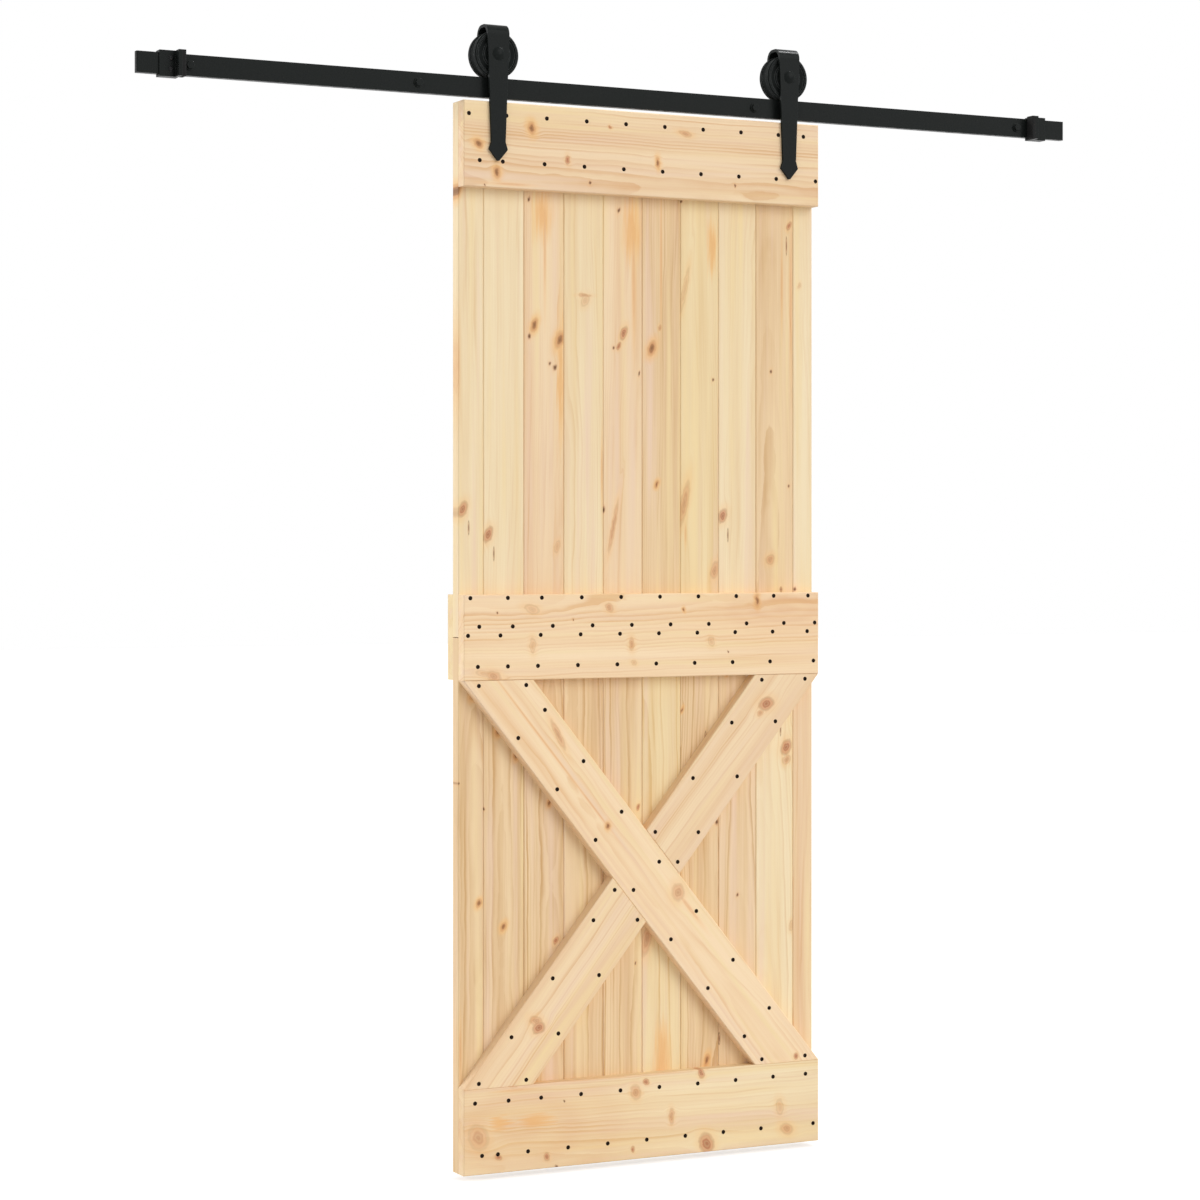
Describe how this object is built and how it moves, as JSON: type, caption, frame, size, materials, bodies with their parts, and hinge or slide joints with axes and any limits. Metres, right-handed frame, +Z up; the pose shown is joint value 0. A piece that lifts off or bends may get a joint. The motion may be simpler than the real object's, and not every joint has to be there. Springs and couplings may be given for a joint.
{
  "type": "sliding barn door with track",
  "caption": "Sliding plank barn door with rails and crossed braces, hung by arrow strap hangers with grooved wheels on a flat wall track with end stops.",
  "frame": {"origin": "axis of the leftmost wall bolt, where it meets the wall", "axes": "+X along the track to the right as seen from the room, +Y into the wall, +Z up"},
  "size_m": [2.078, 0.1315, 2.2529],
  "materials": {
    "pine_planks": "unfinished planed pine with knots",
    "pine_rails": "unfinished planed pine with knots",
    "dark_nails": "dark blued steel",
    "black_steel": "matte black powder coat",
    "black_fasteners": "black zinc",
    "bearing_steel": "ground steel",
    "bumper_rubber": "matte black rubber"
  },
  "bodies": {
    "track": {"track_bar": "black_steel", "wall_spacers": "black_steel", "wall_bolts": "black_fasteners", "left_stop": "black_steel", "right_stop": "black_steel", "left_bumper": "bumper_rubber", "right_bumper": "bumper_rubber", "stop_screws": "black_fasteners"},
    "leaf": {"upper_plank_1": "pine_planks", "upper_plank_2": "pine_planks", "upper_plank_3": "pine_planks", "upper_plank_4": "pine_planks", "upper_plank_5": "pine_planks", "upper_plank_6": "pine_planks", "upper_plank_7": "pine_planks", "upper_plank_8": "pine_planks", "upper_plank_9": "pine_planks", "upper_plank_10": "pine_planks", "lower_plank_1": "pine_planks", "lower_plank_2": "pine_planks", "lower_plank_3": "pine_planks", "lower_plank_4": "pine_planks", "lower_plank_5": "pine_planks", "lower_plank_6": "pine_planks", "lower_plank_7": "pine_planks", "lower_plank_8": "pine_planks", "lower_plank_9": "pine_planks", "lower_plank_10": "pine_planks", "top_rail": "pine_rails", "middle_rail": "pine_rails", "bottom_rail": "pine_rails", "back_batten": "pine_rails", "brace_main": "pine_rails", "brace_upper": "pine_rails", "brace_lower": "pine_rails", "top_rail_nails": "dark_nails", "middle_rail_nails": "dark_nails", "bottom_rail_nails": "dark_nails", "brace_nails": "dark_nails", "left_hanger": "black_steel", "right_hanger": "black_steel", "hanger_washers": "black_fasteners", "hanger_nuts": "black_fasteners", "left_axle_bolt": "black_steel", "right_axle_bolt": "black_steel", "axle_nuts": "black_fasteners", "axle_collars": "black_fasteners"},
    "left_roller": {"left_wheel": "black_steel", "left_bearing": "bearing_steel"},
    "right_roller": {"right_wheel": "black_steel", "right_bearing": "bearing_steel"}
  },
  "joints": [
    {"name": "leaf_slide", "type": "slide", "parent": "track", "child": "leaf", "axis": [1, 0, 0], "range_m": [-0.614, 0.573]},
    {"name": "left_wheel_spin", "type": "hinge", "parent": "leaf", "child": "left_roller", "pos_m": [0.625, -0.0685, 0.0648], "axis": [0, 1, 0], "continuous": true},
    {"name": "right_wheel_spin", "type": "hinge", "parent": "leaf", "child": "right_roller", "pos_m": [1.281, -0.0685, 0.0648], "axis": [0, 1, 0], "continuous": true}
  ],
  "couplings": [
    {"joint": "left_wheel_spin", "follows": "leaf_slide", "rad_per_m": 22.472},
    {"joint": "right_wheel_spin", "follows": "leaf_slide", "rad_per_m": 22.472}
  ]
}
